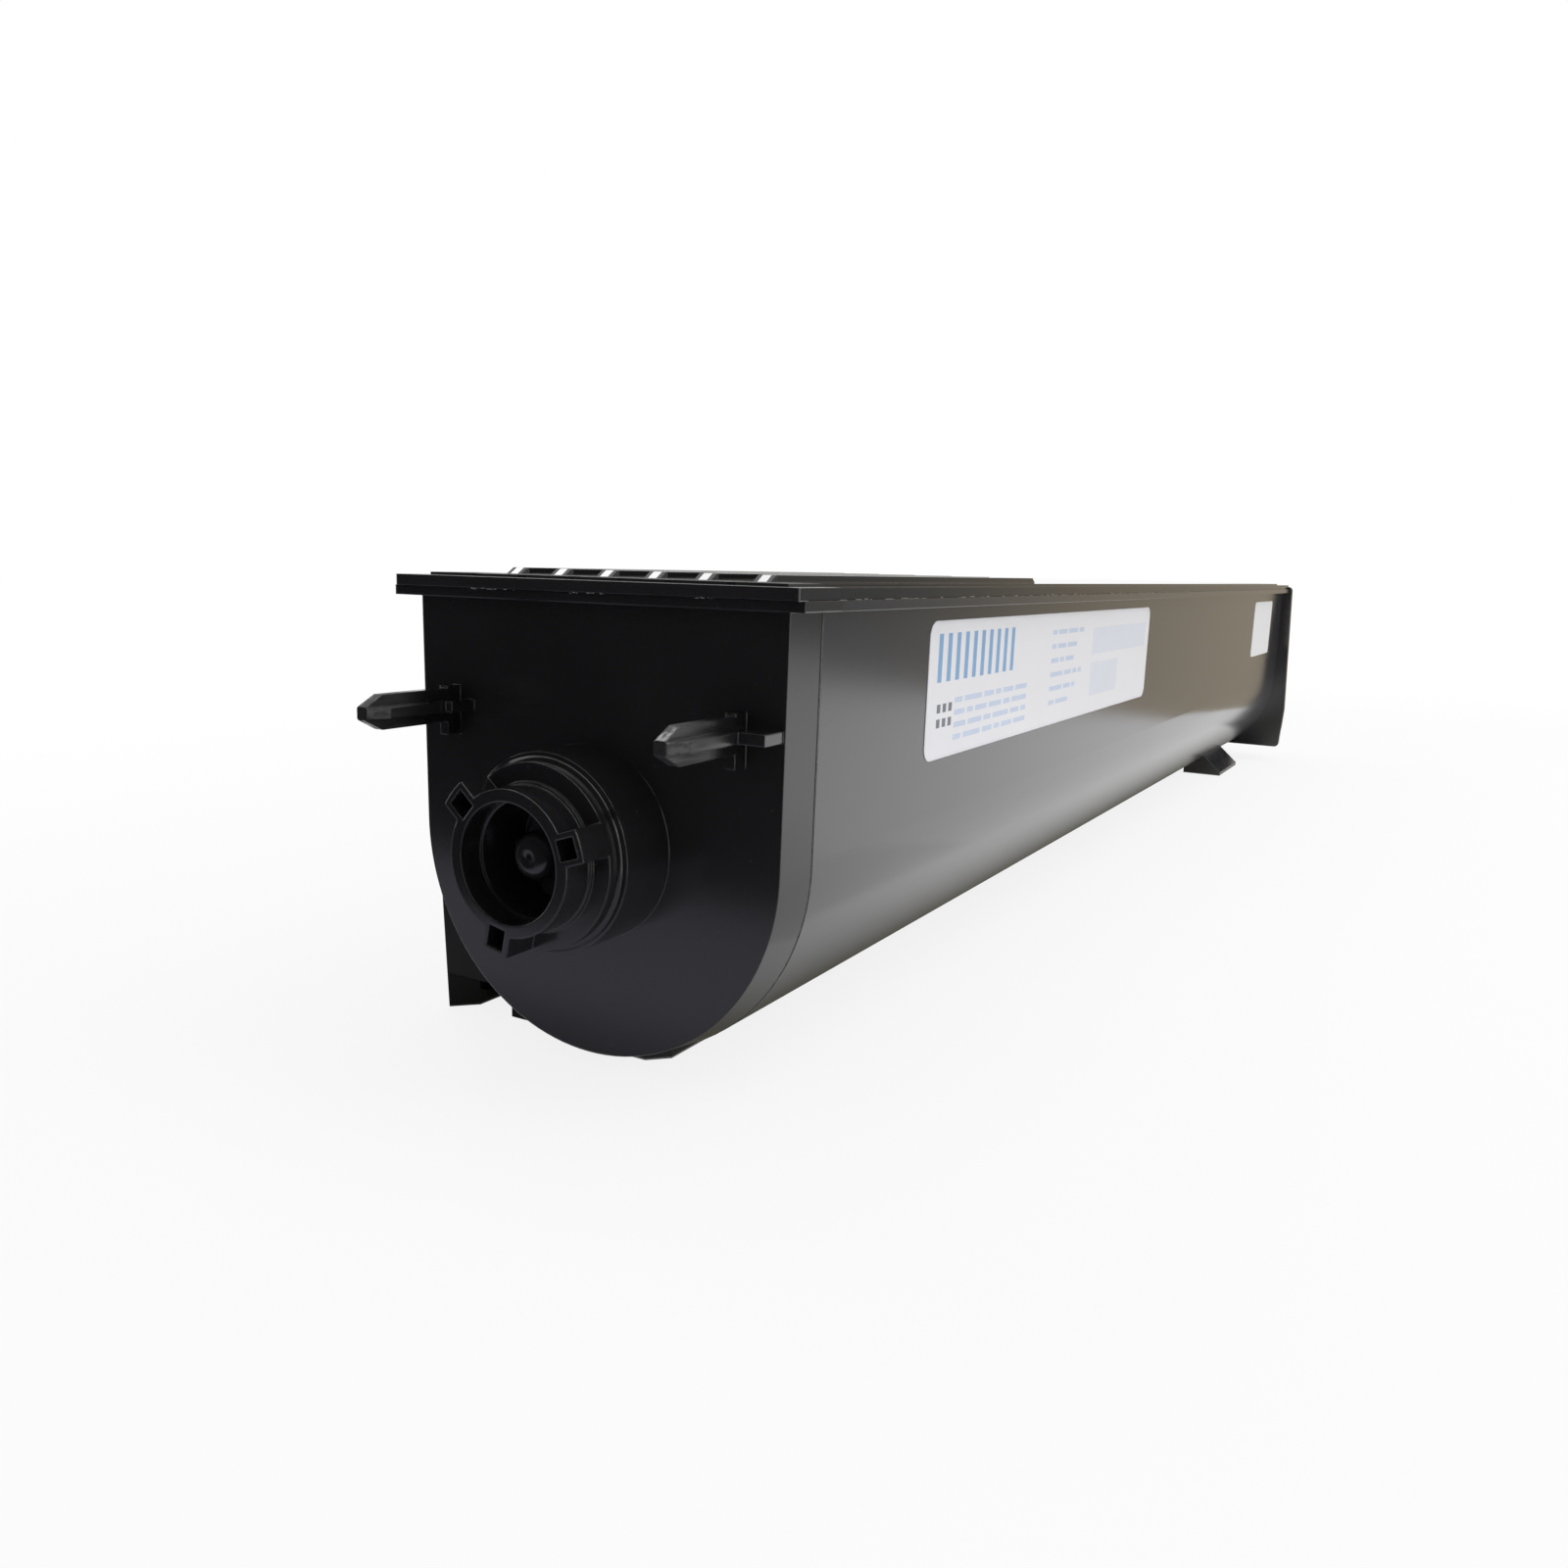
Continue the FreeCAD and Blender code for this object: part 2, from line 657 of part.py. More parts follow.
def make_film_paddle(index):
    side = paddle_side(index)
    start = paddle_start(index)
    film = box(side * film_inner_x, side * film_reach, start, start + paddle_length, film_z, strip_z)
    cuts = [peg(peg_size + fit_gap, film_z - cut_margin, strip_z + cut_margin, side, y)
            for y in peg_places(index)]
    pitch = (paddle_length - film_slit_slant) / (film_slits + 1)
    for i in range(film_slits):
        y = start + pitch * (i + 1)
        outer = side * (film_reach + cut_margin)
        cuts.append(prism_z([
            (side * film_slit_start, y),
            (side * film_slit_start, y + film_slit_width),
            (outer, y + film_slit_width + film_slit_slant),
            (outer, y + film_slit_slant),
        ], film_z - cut_margin, strip_z + cut_margin))
    return film.cut(cuts)


def make_clamp_strip(index):
    side = paddle_side(index)
    start = paddle_start(index)
    inner = film_inner_x + strip_inset
    strip = box(side * inner, side * (inner + strip_width), start + strip_inset,
                start + paddle_length - strip_inset, strip_z, peg_top)
    holes = [peg(peg_size + fit_gap, strip_z - cut_margin, peg_top + cut_margin, side, y)
             for y in peg_places(index)]
    return strip.cut(holes)


def make_outlet_housing():
    outline = [
        (-bottom_radius, axis_z),
        (-outlet_top_x, axis_z - outlet_shoulder),
        (-outlet_bottom_x, 0),
        (-skirt_inner_x, 0),
        (-skirt_inner_x, floor_z),
        (-outlet_inner_x, floor_z),
        (-outlet_inner_x, outlet_rail_gap),
        (-outlet_inner_x + outlet_rail, outlet_rail_gap),
        (-outlet_inner_x + outlet_rail, axis_z),
    ]
    solid = prism_y(outline, outlet_front, outlet_back)
    outer_lip = box(-skirt_inner_x - cut_margin, -skirt_inner_x + outlet_lip, outlet_front + outlet_skirt,
                    outlet_back, outlet_rail_gap, lip_top)
    inner_lip = box(-outlet_inner_x - outlet_lip, -outlet_inner_x + cut_margin, outlet_front, outlet_back,
                    outlet_rail_gap, lip_top)
    solid = join(solid, outer_lip, inner_lip)
    # The skirt's front end is cut away at 45 degrees on its inner side.
    bevel = prism_z([
        (-outlet_bottom_x - cut_margin, outlet_front - cut_margin),
        (-skirt_inner_x + cut_margin, outlet_front - cut_margin),
        (-skirt_inner_x + cut_margin, outlet_front + outlet_skirt + cut_margin),
    ], -cut_margin, floor_z)
    body = rod(bottom_radius, outlet_front - cut_margin, outlet_back + cut_margin)
    return solid.cut([body, bevel, outlet_port()])


def make_port_seal():
    y0 = behind(port_start) - port_seal_margin
    y1 = behind(port_start + port_length) + port_seal_margin
    pad = box(-port_outer_x - port_seal_margin, -port_inner_x + port_seal_margin, y0, y1, seal_under, floor_z)
    return pad.cut(outlet_port())


def make_outlet_shutter():
    y0 = behind(port_start) - shutter_margin
    y1 = behind(port_start + port_length) + shutter_margin
    outer = -skirt_inner_x + fit_gap
    inner = -outlet_inner_x - fit_gap
    plate = box(outer, inner, y0, y1, shutter_under, shutter_top)
    tab_outer = -skirt_inner_x + outlet_lip + shutter_tab_gap
    tab_inner = -outlet_inner_x - outlet_lip - shutter_tab_gap
    tab_bottom = shutter_under - shutter_tab_depth
    rear_tab = box(tab_outer, tab_inner, y1 - shutter_tab_length, y1, tab_bottom, shutter_under)
    front_tab = box(tab_outer, tab_inner, y0, y0 + shutter_tab_length, tab_bottom, shutter_under)
    return join(plate, rear_tab, front_tab)


def make_handle_cap():
    top = rim_z - panel_below_rim
    bottom = panel_lift
    back = trough_back + handle_depth
    panel_half = half_width + panel_overhang
    bulge_half = panel_half + panel_bulge
    bulge_z = rim_z - panel_bulge_drop
    panel = prism_y([
        (-panel_half, top),
        (panel_half, top),
        (bulge_half, bulge_z),
        (panel_half, bottom),
        (-panel_half, bottom),
        (-bulge_half, bulge_z),
    ], trough_back, trough_back + panel_thickness)
    panel_corners = []
    for edge in panel.Edges:
        ends = edge.Vertexes
        if abs(ends[0].Y - ends[-1].Y) > fit_gap and abs(ends[0].Z - bulge_z) > fit_gap:
            panel_corners.append(edge)
    panel = panel.makeFillet(panel_corner, panel_corners)
    shell_bottom = bottom + handle_margin
    shell_top = top - handle_margin
    shell_half = half_width + handle_overhang
    shell = rounded_panel(shell_half, shell_bottom, shell_top, trough_back, back, handle_corner)
    rear_edges = []
    for edge in shell.Edges:
        if all(abs(v.Y - back) < fit_gap for v in edge.Vertexes):
            rear_edges.append(edge)
    shell = shell.makeChamfer(handle_edge, rear_edges)
    spigot_front = trough_back - handle_spigot_length
    spigot = u_prism(spigot_inset, lid_under - fit_gap, spigot_front, trough_back + cut_margin)
    cavity = rounded_panel(shell_half - handle_wall, shell_bottom + handle_wall, shell_top - handle_wall,
                           trough_back - cut_margin, back - handle_wall, handle_corner - handle_wall)
    mouth = u_prism(spigot_inset + spigot_wall, lid_under - spigot_wall - fit_gap, spigot_front - cut_margin,
                    trough_back + panel_thickness)
    grip_half_width = shell_half - grip_side
    grip_bottom = (shell_bottom + shell_top - grip_height) / 2
    grip_top = grip_bottom + grip_height
    grip_front = back - grip_depth
    pocket_half = grip_half_width + handle_wall
    pocket_shell = box(-pocket_half, pocket_half, grip_front - handle_wall, back - handle_wall,
                       grip_bottom - handle_wall, grip_top + grip_undercut + handle_wall)
    panel_space = box(-bulge_half, bulge_half, trough_back - cut_margin, trough_back + panel_thickness,
                      bottom, top)
    cavity = cavity.cut([pocket_shell, panel_space])
    pocket = box(-grip_half_width, grip_half_width, grip_front, back + cut_margin, grip_bottom, grip_top)
    undercut = box(-grip_half_width, grip_half_width, grip_front, back - grip_lip,
                   grip_top, grip_top + grip_undercut)
    return join(panel, shell, spigot).cut([cavity, mouth, pocket, undercut])


nodes = {
    "trough": make_trough(),
    "lid": make_lid(),
    "drive_end_cap": make_drive_end_cap(),
    "handle_cap": make_handle_cap(),
    "filler_plug": make_filler_plug(),
    "front_bearing": make_front_bearing(),
    "front_shaft_seal": make_front_shaft_seal(),
    "rear_bearing": make_rear_bearing(),
    "rear_shaft_seal": make_rear_shaft_seal(),
    "outlet_housing": make_outlet_housing(),
    "port_seal": make_port_seal(),
    "side_label": side_sticker(label_start, label_length, label_top, label_height, label_corner),
    "tag_sticker": side_sticker(tag_start, tag_length, tag_top, tag_height, tag_corner),
    "outlet_shutter": make_outlet_shutter(),
    "drive_coupling": make_drive_coupling(),
    "coupling_pin": cross_pin(cross_pin_radius),
    "agitator_shaft": make_agitator_shaft(),
    "agitator_frame": make_agitator_frame(),
    "shaft_clip": make_shaft_clip(),
}
for number in range(paddle_count):
    nodes["film_paddle_%d" % (number + 1)] = make_film_paddle(number)
    nodes["clamp_strip_%d" % (number + 1)] = make_clamp_strip(number)

os.makedirs("parts", exist_ok=True)
for name, shape in nodes.items():
    shape.exportStep("parts/%s.step" % name)
    print(name, len(shape.Solids), "solid", round(shape.Volume, 1), "mm3", shape.isValid())
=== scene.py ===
import json
import math

import bpy
from mathutils import Matrix, Vector


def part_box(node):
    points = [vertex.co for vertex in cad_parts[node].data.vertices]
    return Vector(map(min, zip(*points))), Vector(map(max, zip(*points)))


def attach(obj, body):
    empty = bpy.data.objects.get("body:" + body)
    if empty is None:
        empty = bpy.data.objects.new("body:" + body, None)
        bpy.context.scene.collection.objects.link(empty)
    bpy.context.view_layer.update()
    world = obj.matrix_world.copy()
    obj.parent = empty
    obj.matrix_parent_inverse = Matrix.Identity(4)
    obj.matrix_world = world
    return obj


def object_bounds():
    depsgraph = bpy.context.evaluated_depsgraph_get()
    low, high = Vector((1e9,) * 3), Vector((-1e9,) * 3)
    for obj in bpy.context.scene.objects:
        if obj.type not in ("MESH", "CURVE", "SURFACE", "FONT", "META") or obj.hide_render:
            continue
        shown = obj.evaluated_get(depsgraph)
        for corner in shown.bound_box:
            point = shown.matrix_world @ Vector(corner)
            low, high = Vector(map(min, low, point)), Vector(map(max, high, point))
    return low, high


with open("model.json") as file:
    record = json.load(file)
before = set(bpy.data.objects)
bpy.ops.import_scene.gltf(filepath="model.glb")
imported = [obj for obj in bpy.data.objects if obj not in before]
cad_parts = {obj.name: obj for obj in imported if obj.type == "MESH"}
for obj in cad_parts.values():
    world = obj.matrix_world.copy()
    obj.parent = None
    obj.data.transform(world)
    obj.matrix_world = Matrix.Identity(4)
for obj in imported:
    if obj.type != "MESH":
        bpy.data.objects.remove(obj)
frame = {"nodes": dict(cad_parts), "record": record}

# Looks for a black toner cartridge around its fixed frame. The nodes get moulded plastics,
# foam, film and steel. Added to them are generic print on the side label, the flash of the
# weld under the lid in pale tones that are partly painted highlight, a black strip that paints
# the shade in the front cap's joint, a dust ring before the white bush and a thin cap on the
# shaft's tip. Lengths are metres in the frame's own axes, and millimetres inside the materials
# and on the label.

cad_low, cad_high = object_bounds()
MM = 0.001
NODES = frame["nodes"]
HOPPER = "hopper"
ROTOR = "rotor"

label_low, label_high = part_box("side_label")
lid_low, lid_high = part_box("lid")
trough_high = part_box("trough")[1]
cap_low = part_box("drive_end_cap")[0]
shaft_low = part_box("agitator_shaft")[0]
bearing_low, bearing_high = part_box("front_bearing")

PRONG_REACH = 22.0 * MM
LID_THICKNESS = 1.95 * MM
FLANGE_THICKNESS = 1.75 * MM
BOTTOM_RADIUS = 39.35 * MM
SIDE_DRAFT = 0.65 * MM
SIDE_HEIGHT = 44.65 * MM
SIDE_SLOPE = SIDE_DRAFT / SIDE_HEIGHT
RIB_PLACES_MM = (-26.1, -15.65, -5.2, 5.25, 15.7, 27.3)

rim_z = trough_high.z + LID_THICKNESS
flange_z = trough_high.z - FLANGE_THICKNESS
drive_axis_z = (bearing_low.z + bearing_high.z) / 2
drive_face_y = cap_low.y + PRONG_REACH
face_mm = drive_face_y / MM

WHITE = (1.0, 1.0, 1.0)
BLACK = (0.0, 0.0, 0.0)


# Nodes and shader maths

class Value:
    """A number socket of a node. Python arithmetic on it adds Math nodes beside it."""

    def __init__(self, nodes, socket):
        self.nodes = nodes
        self.socket = socket

    def math(self, operation, *values):
        node = self.nodes.node("ShaderNodeMath", {"operation": operation}, values)
        return Value(self.nodes, node.outputs[0])

    def __add__(self, other):
        return self.math("ADD", self, other)

    def __radd__(self, other):
        return self.math("ADD", other, self)

    def __sub__(self, other):
        return self.math("SUBTRACT", self, other)

    def __rsub__(self, other):
        return self.math("SUBTRACT", other, self)

    def __mul__(self, other):
        return self.math("MULTIPLY", self, other)

    def __rmul__(self, other):
        return self.math("MULTIPLY", other, self)

    def __gt__(self, other):
        return self.math("GREATER_THAN", self, other)

    def __lt__(self, other):
        return self.math("LESS_THAN", self, other)

    def __abs__(self):
        return self.math("ABSOLUTE", self)

    def smaller(self, other):
        return self.math("MINIMUM", self, other)

    def larger(self, other):
        return self.math("MAXIMUM", self, other)

    def ramp(self, low, high, out_low=0.0, out_high=1.0):
        """Smooth step from out_low at low to out_high at high."""
        node = self.nodes.node("ShaderNodeMapRange", {"interpolation_type": "SMOOTHSTEP"},
                               [self, low, high, out_low, out_high])
        return Value(self.nodes, node.outputs[0])


class Nodes:
    """A node tree that gets all its nodes from one method."""

    def __init__(self, tree):
        self.tree = tree
        self.tree.nodes.clear()

    def node(self, kind, settings=None, values=()):
        """A node of a kind, with its settings made first and then its sockets' values or links."""
        node = self.tree.nodes.new(kind)
        for key, setting in (settings or {}).items():
            setattr(node, key, setting)
        pairs = values.items() if isinstance(values, dict) else enumerate(values)
        for key, value in pairs:
            if isinstance(value, Value):
                value = value.socket
            if isinstance(value, bpy.types.NodeSocket):
                self.tree.links.new(value, node.inputs[key])
            elif isinstance(value, tuple) and node.inputs[key].type == "RGBA":
                node.inputs[key].default_value = (*value, 1.0)
            else:
                node.inputs[key].default_value = value
        return node


class Recipe(Nodes):
    """One node material, built from Object coordinates in millimetres."""

    # Places of the sockets for colours on a Mix node
    MIX_AMOUNT = 0
    MIX_FIRST = 6
    MIX_SECOND = 7
    MIX_RESULT = 2

    EDGE_SAMPLES = 6

    def __init__(self, name):
        self.material = bpy.data.materials.new(name)
        self.material.use_nodes = True
        super().__init__(self.material.node_tree)
        coordinates = self.node("ShaderNodeTexCoord").outputs["Object"]
        scaled = self.node("ShaderNodeVectorMath", {"operation": "SCALE"},
                           {"Vector": coordinates, "Scale": 1 / MM})
        self.place = scaled.outputs[0]
        split = self.node("ShaderNodeSeparateXYZ", {}, [self.place])
        self.x, self.y, self.z = (Value(self, out) for out in split.outputs)

    def noise(self, size, detail=2.0, roughness=0.5, stretch=(1.0, 1.0, 1.0)):
        """Noise from 0 to 1 with features about size millimetres across, and longer along an
        axis whose stretch is under 1."""
        mapped = self.node("ShaderNodeMapping", {}, {"Vector": self.place, "Scale": stretch})
        noise = self.node("ShaderNodeTexNoise", {}, {
            "Vector": mapped.outputs[0], "Scale": 1.0 / size, "Detail": detail,
            "Roughness": roughness})
        return Value(self, noise.outputs[0])

    def mix(self, amount, first, second):
        """Colour between two, by an amount from 0 to 1."""
        mixed = self.node("ShaderNodeMix", {"data_type": "RGBA"}, {
            self.MIX_AMOUNT: amount, self.MIX_FIRST: first, self.MIX_SECOND: second})
        return mixed.outputs[self.MIX_RESULT]

    def soft_edges(self, radius):
        """Normal that rounds sharp edges by a radius in millimetres."""
        bevel = self.node("ShaderNodeBevel", {"samples": self.EDGE_SAMPLES},
                          {"Radius": radius * MM})
        return bevel.outputs[0]

    def bump(self, height, depth, normal=None):
        """Normal from a height of 0 to 1 that stands for depth millimetres."""
        values = {"Strength": 1.0, "Distance": depth * MM, "Height": height}
        if normal is not None:
            values["Normal"] = normal
        return self.node("ShaderNodeBump", {}, values).outputs[0]

    def surface(self, shader):
        """The material, with a shader's node on its output."""
        self.node("ShaderNodeOutputMaterial", {}, {"Surface": shader.outputs[0]})
        return self.material

    def finish(self, **values):
        """Principled surface. Names are its sockets' names with underscores."""
        sockets = {key.replace("_", " "): value for key, value in values.items()}
        return self.surface(self.node("ShaderNodeBsdfPrincipled", {}, sockets))


def paler(colour, times):
    return tuple(min(1.0, channel * times) for channel in colour)


# Plastics, film, foam and steel

def gloss_black(name, colour, rough, edge, coat, worn=None):
    """Polished black moulding: faint flow marks, a little dust and fine rubbing along its
    length. worn gives, from a recipe, how far a place has lost its polish."""
    flow_lightens = 1.35
    rub_height = 0.04
    dust_grey = (0.10, 0.10, 0.105)
    dust_cover = 0.07
    dust_dulls = 0.1
    rub_dulls = 0.03
    wear_dulls = 0.6
    m = Recipe(name)
    flow = m.noise(60.0, detail=3.0, roughness=0.55, stretch=(1.0, 0.25, 1.0))
    rub = m.noise(1.6, detail=4.0, roughness=0.7, stretch=(1.0, 0.03, 1.0))
    dust = m.noise(0.9, detail=1.0, roughness=0.4).ramp(0.74, 0.82)
    tone = m.mix(flow.ramp(0.3, 0.7), colour, paler(colour, flow_lightens))
    tone = m.mix(dust * dust_cover, tone, dust_grey)
    roughness = flow.ramp(0.3, 0.75, rough * 0.85, rough * 1.25)
    roughness = roughness + rub.ramp(0.55, 0.8, 0.0, rub_dulls) + dust * dust_dulls
    coat_weight = coat
    if worn:
        lost = worn(m)
        roughness = roughness + lost * wear_dulls
        coat_weight = (1.0 - lost) * coat
    normal = m.bump(flow + rub * rub_height, depth=0.006, normal=m.soft_edges(edge))
    return m.finish(Base_Color=tone, Roughness=roughness, Specular_IOR_Level=1.0,
                    Coat_Weight=coat_weight, Coat_Roughness=rough, Coat_Normal=normal,
                    Normal=normal)


def dull_ramps(m):
    """Rib ramps at the lid's front, dull but for a line along the middle of each, and the
    scuffed ledge in front of them."""
    ramps_end = face_mm + 12.8
    ledge_end = face_mm + 10.4
    ledge_top = 0.04
    ledge_underside = -0.05
    ledge_wear = 0.45
    line_half_width = 0.75
    line_fades_out = 0.95
    above_rim = m.z - rim_z / MM
    on_ramp = (above_rim > ledge_top) * (m.y < ramps_end)
    off_line = abs(m.x - RIB_PLACES_MM[0])
    for rib_x in RIB_PLACES_MM[1:]:
        off_line = off_line.smaller(abs(m.x - rib_x))
    on_ledge = (above_rim > ledge_underside) * (above_rim < ledge_top) * (m.y < ledge_end)
    return on_ramp * off_line.ramp(line_half_width, line_fades_out) + on_ledge * ledge_wear


def rubbed_prongs(m):
    """Prongs of the drive cap, scuffed in streaks along their length."""
    all_rubbed = face_mm - 17.0
    none_rubbed = face_mm - 6.0
    prongs_inner_x = 24.0
    on_prong = m.y.ramp(all_rubbed, none_rubbed, 1.0, 0.0) * (abs(m.x) > prongs_inner_x)
    streak = m.noise(1.1, detail=3.0, roughness=0.6, stretch=(1.0, 0.05, 1.0))
    return on_prong * streak.ramp(0.42, 0.6, 0.9, 0.4)


def satin_black(name, colour, rough, edge):
    """Black moulding with the fine even grain of a spark-eroded mould."""
    m = Recipe(name)
    pits = m.noise(0.35)
    worn = m.noise(14.0, detail=3.0, roughness=0.6)
    tone = m.mix(worn.ramp(0.35, 0.7), colour, paler(colour, 1.3))
    roughness = worn.ramp(0.3, 0.75, rough * 0.95, rough * 1.1)
    normal = m.bump(pits, depth=0.006, normal=m.soft_edges(edge))
    return m.finish(Base_Color=tone, Roughness=roughness, Specular_IOR_Level=0.45, Normal=normal)


def natural_acetal():
    """Milky white bush plastic, slightly waxy."""
    m = Recipe("natural_acetal")
    cloud = m.noise(5.0, detail=3.0)
    tone = m.mix(cloud, (0.72, 0.70, 0.65), (0.80, 0.79, 0.75))
    return m.finish(Base_Color=tone, Roughness=cloud.ramp(0.2, 0.8, 0.32, 0.45),
                    Normal=m.bump(cloud, depth=0.01, normal=m.soft_edges(0.15)))


def sealing_foam():
    """Charcoal foam with open cells."""
    cells_per_mm = 3.2
    m = Recipe("sealing_foam")
    cells = m.node("ShaderNodeTexVoronoi", {"feature": "F1"},
                   {"Vector": m.place, "Scale": cells_per_mm})
    cell = Value(m, cells.outputs[0])
    tone = m.mix(cell.ramp(0.1, 0.6), (0.03, 0.03, 0.032), (0.11, 0.11, 0.11))
    return m.finish(Base_Color=tone, Roughness=0.92, Normal=m.bump(cell, depth=0.15))


def drawn_steel():
    """Bright steel rod, with fine lines round it from grinding."""
    m = Recipe("drawn_steel")
    lines = m.noise(0.5, detail=3.0, roughness=0.6, stretch=(0.15, 4.0, 0.15))
    tone = m.mix(lines, (0.50, 0.50, 0.51), (0.66, 0.66, 0.67))
    return m.finish(Base_Color=tone, Metallic=1.0, Roughness=lines.ramp(0.3, 0.7, 0.22, 0.36),
                    Normal=m.bump(lines, depth=0.004, normal=m.soft_edges(0.1)))


def paddle_film():
    """Milky polyester sheet with a slight wave."""
    m = Recipe("paddle_film")
    wave = m.noise(25.0)
    tone = m.mix(wave, (0.62, 0.65, 0.66), (0.78, 0.80, 0.80))
    return m.finish(Base_Color=tone, Roughness=0.18, Alpha=0.75, Normal=m.bump(wave, depth=0.4))


def label_film():
    """White gloss label, very slightly rippled, with a faint grey cast at its rim."""
    rim_width = 0.9
    rim_cover = 0.5
    ripple_cover = 0.2
    m = Recipe("label_film")
    middle_y = (label_low.y + label_high.y) / 2 / MM
    middle_z = (label_low.z + label_high.z) / 2 / MM
    half_y = (label_high.y - label_low.y) / 2 / MM
    half_z = (label_high.z - label_low.z) / 2 / MM
    past_edge = (abs(m.y - middle_y) - half_y).larger(abs(m.z - middle_z) - half_z)
    rim = past_edge.ramp(-rim_width, 0.0)
    ripple = m.noise(18.0)
    tone = m.mix(rim * rim_cover, (0.84, 0.84, 0.875), (0.68, 0.69, 0.73))
    tone = m.mix(ripple.ramp(0.3, 0.8) * ripple_cover, tone, (0.78, 0.79, 0.83))
    return m.finish(Base_Color=tone, Roughness=ripple.ramp(0.3, 0.7, 0.3, 0.4),
                    Normal=m.bump(ripple, depth=0.015))


def tag_paper():
    """Plain white sticker with a little paper tooth."""
    m = Recipe("tag_paper")
    tooth = m.noise(0.5)
    tone = m.mix(tooth, (0.74, 0.74, 0.76), (0.84, 0.84, 0.85))
    return m.finish(Base_Color=tone, Roughness=0.5, Normal=m.bump(tooth, depth=0.01))


def printing_ink(name, colour):
    """Ink on the label, a touch uneven."""
    m = Recipe(name)
    patch = m.noise(2.5)
    tone = m.mix(patch.ramp(0.3, 0.7), colour, paler(colour, 1.04))
    return m.finish(Base_Color=tone, Roughness=patch.ramp(0.3, 0.7, 0.3, 0.4))


def weld_flash(name, darker, lighter, rough):
    """Plastic squeezed out of the lid's weld, shiny and paler than the moulding. The pale tone is
    partly painted highlight, for glints along the joint.
    """
    m = Recipe(name)
    lumps = m.noise(1.2)
    tone = m.mix(lumps, darker, lighter)
    return m.finish(Base_Color=tone, Roughness=rough, Specular_IOR_Level=0.9,
                    Normal=m.bump(lumps, depth=0.05))


FINISHES = {
    "body_plastic": gloss_black("body_plastic", (0.022, 0.022, 0.026),
                                rough=0.16, edge=0.25, coat=0.35),
    "lid_plastic": gloss_black("lid_plastic", (0.012, 0.012, 0.013),
                               rough=0.03, edge=0.25, coat=0.0, worn=dull_ramps),
    "cap_plastic": gloss_black("cap_plastic", (0.009, 0.009, 0.010),
                               rough=0.17, edge=0.4, coat=0.42, worn=rubbed_prongs),
    "coupling_plastic": gloss_black("coupling_plastic", (0.008, 0.008, 0.009),
                                    rough=0.17, edge=0.5, coat=0.3),
    "bush_plastic": natural_acetal(),
    "seal_foam": sealing_foam(),
    "shaft_steel": drawn_steel(),
    "frame_plastic": satin_black("frame_plastic", (0.045, 0.045, 0.05), rough=0.45, edge=0.2),
    "paddle_film": paddle_film(),
    "label_film": label_film(),
    "tag_paper": tag_paper(),
}
outlet_plastic = satin_black("outlet_plastic", (0.006, 0.006, 0.007), rough=0.55, edge=0.2)

for part in frame["record"]["subparts"]:
    materials = NODES[part["node"]].data.materials
    materials.clear()
    materials.append(FINISHES[part["material_slot"]])
NODES["outlet_housing"].data.materials[0] = outlet_plastic


# Meshes, objects and Geometry Nodes

def plain_mesh(name, points, edges, faces):
    mesh = bpy.data.meshes.new(name)
    mesh.from_pydata([tuple(point) for point in points], edges, faces)
    return mesh


def in_scene(name, data):
    """An object of the scene that holds a mesh, lamp or camera."""
    placed = bpy.data.objects.new(name, data)
    bpy.context.scene.collection.objects.link(placed)
    return placed


def rest_on(obj, body):
    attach(obj, body)


class Tree(Nodes):
    """A Geometry Nodes tree with named number inputs. It starts from a geometry."""

    def __init__(self, name, inputs):
        super().__init__(bpy.data.node_groups.new(name, "GeometryNodeTree"))
        interface = self.tree.interface
        for label, kind in {"Geometry": "NodeSocketGeometry", **inputs}.items():
            interface.new_socket(label, in_out="INPUT", socket_type=kind)
        interface.new_socket("Geometry", in_out="OUTPUT", socket_type="NodeSocketGeometry")
        self.inputs = self.node("NodeGroupInput").outputs

    def close(self, geometry, material):
        """Realised instances with one material go to the output."""
        real = self.node("GeometryNodeRealizeInstances", {}, [geometry])
        painted = self.node("GeometryNodeSetMaterial", {},
                            {"Geometry": real.outputs[0], "Material": material})
        self.node("NodeGroupOutput", {}, [painted.outputs[0]])

    def grow(self, name, mesh, values):
        """A plain mesh object that the tree makes from a mesh and the inputs' values."""
        piece = in_scene(name, mesh)
        modifier = piece.modifiers.new(name, "NODES")
        modifier.node_group = self.tree
        for item in self.tree.interface.items_tree:
            if item.in_out == "INPUT" and item.name in values:
                modifier[item.identifier] = values[item.name]
        bpy.context.view_layer.update()
        graph = bpy.context.evaluated_depsgraph_get()
        grown = bpy.data.meshes.new_from_object(piece.evaluated_get(graph))
        piece.modifiers.clear()
        piece.data = grown
        return piece


# Generic print on the side label

PRINT_LIFT = 0.015 * MM


